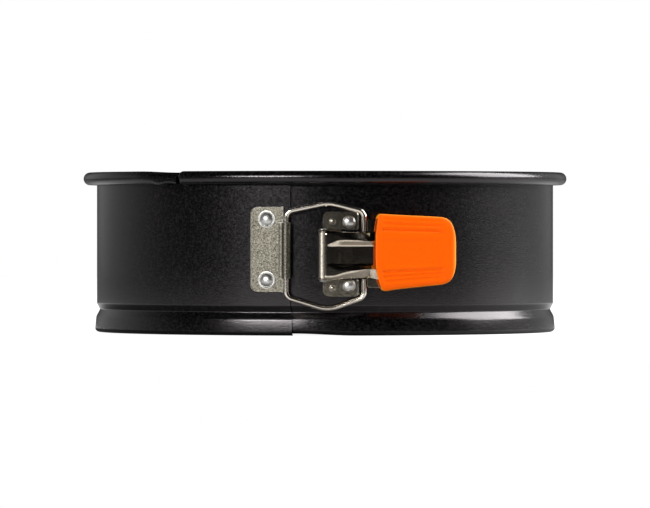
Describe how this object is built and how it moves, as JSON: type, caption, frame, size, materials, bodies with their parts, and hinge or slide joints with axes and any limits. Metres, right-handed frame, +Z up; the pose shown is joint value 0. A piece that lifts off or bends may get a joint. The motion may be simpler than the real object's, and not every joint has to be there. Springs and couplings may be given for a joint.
{
  "type": "springform cake pan",
  "caption": "Round springform cake pan with a rolled rim, a lift-out base plate and an over-centre side latch with a rubber-sleeved lever.",
  "frame": {"origin": "on the pan's vertical axis, on the plane that its lower lip stands on", "axes": "+Z up, -Y out through the latch, +X towards the lever's grip"},
  "size_m": [0.2128, 0.2131, 0.07],
  "materials": {
    "coated_steel": "satin",
    "plated_steel": "satin",
    "rivet_steel": "gloss",
    "wire_steel": "gloss",
    "silicone": "matte"
  },
  "bodies": {
    "base": {"base_plate": "coated_steel"},
    "ring": {"spring_band": "coated_steel"},
    "catch_end": {"catch_plate": "plated_steel", "catch_rivet_upper": "rivet_steel", "catch_rivet_lower": "rivet_steel"},
    "latch_end": {"lever_bracket": "plated_steel", "bracket_rivet_upper": "rivet_steel", "bracket_rivet_lower": "rivet_steel", "pivot_pin": "rivet_steel"},
    "lever": {"lever": "plated_steel", "lever_grip": "silicone"},
    "bail": {"bail": "wire_steel"}
  },
  "joints": [
    {"name": "ring_lift", "type": "slide", "parent": "base", "child": "ring", "axis": [0, 0, 1], "range_m": [0, 0.1]},
    {"name": "spread_left", "type": "hinge", "parent": "ring", "child": "catch_end", "pos_m": [0, 0.1002, 0], "axis": [0, 0, 1], "range_deg": [-2.32, 0], "deforming": ["spring_band"]},
    {"name": "spread_right", "type": "hinge", "parent": "ring", "child": "latch_end", "pos_m": [0, 0.1002, 0], "axis": [0, 0, 1], "range_deg": [0, 2.32], "deforming": ["spring_band"]},
    {"name": "lever_swing", "type": "hinge", "parent": "latch_end", "child": "lever", "pos_m": [-0.0009, -0.1035, 0], "axis": [0, 0, -1], "range_deg": [0, 115]},
    {"name": "bail_swing", "type": "hinge", "parent": "catch_end", "child": "bail", "pos_m": [-0.0164, -0.10128, 0], "axis": [0, 0, -1], "range_deg": [0, 33.5]}
  ],
  "couplings": [
    {"joint": "spread_left", "follows": "lever_swing", "ratio": -0.020035},
    {"joint": "spread_right", "follows": "lever_swing", "ratio": 0.020035},
    {"joint": "bail_swing", "follows": "lever_swing", "ratio": 0.28881}
  ]
}
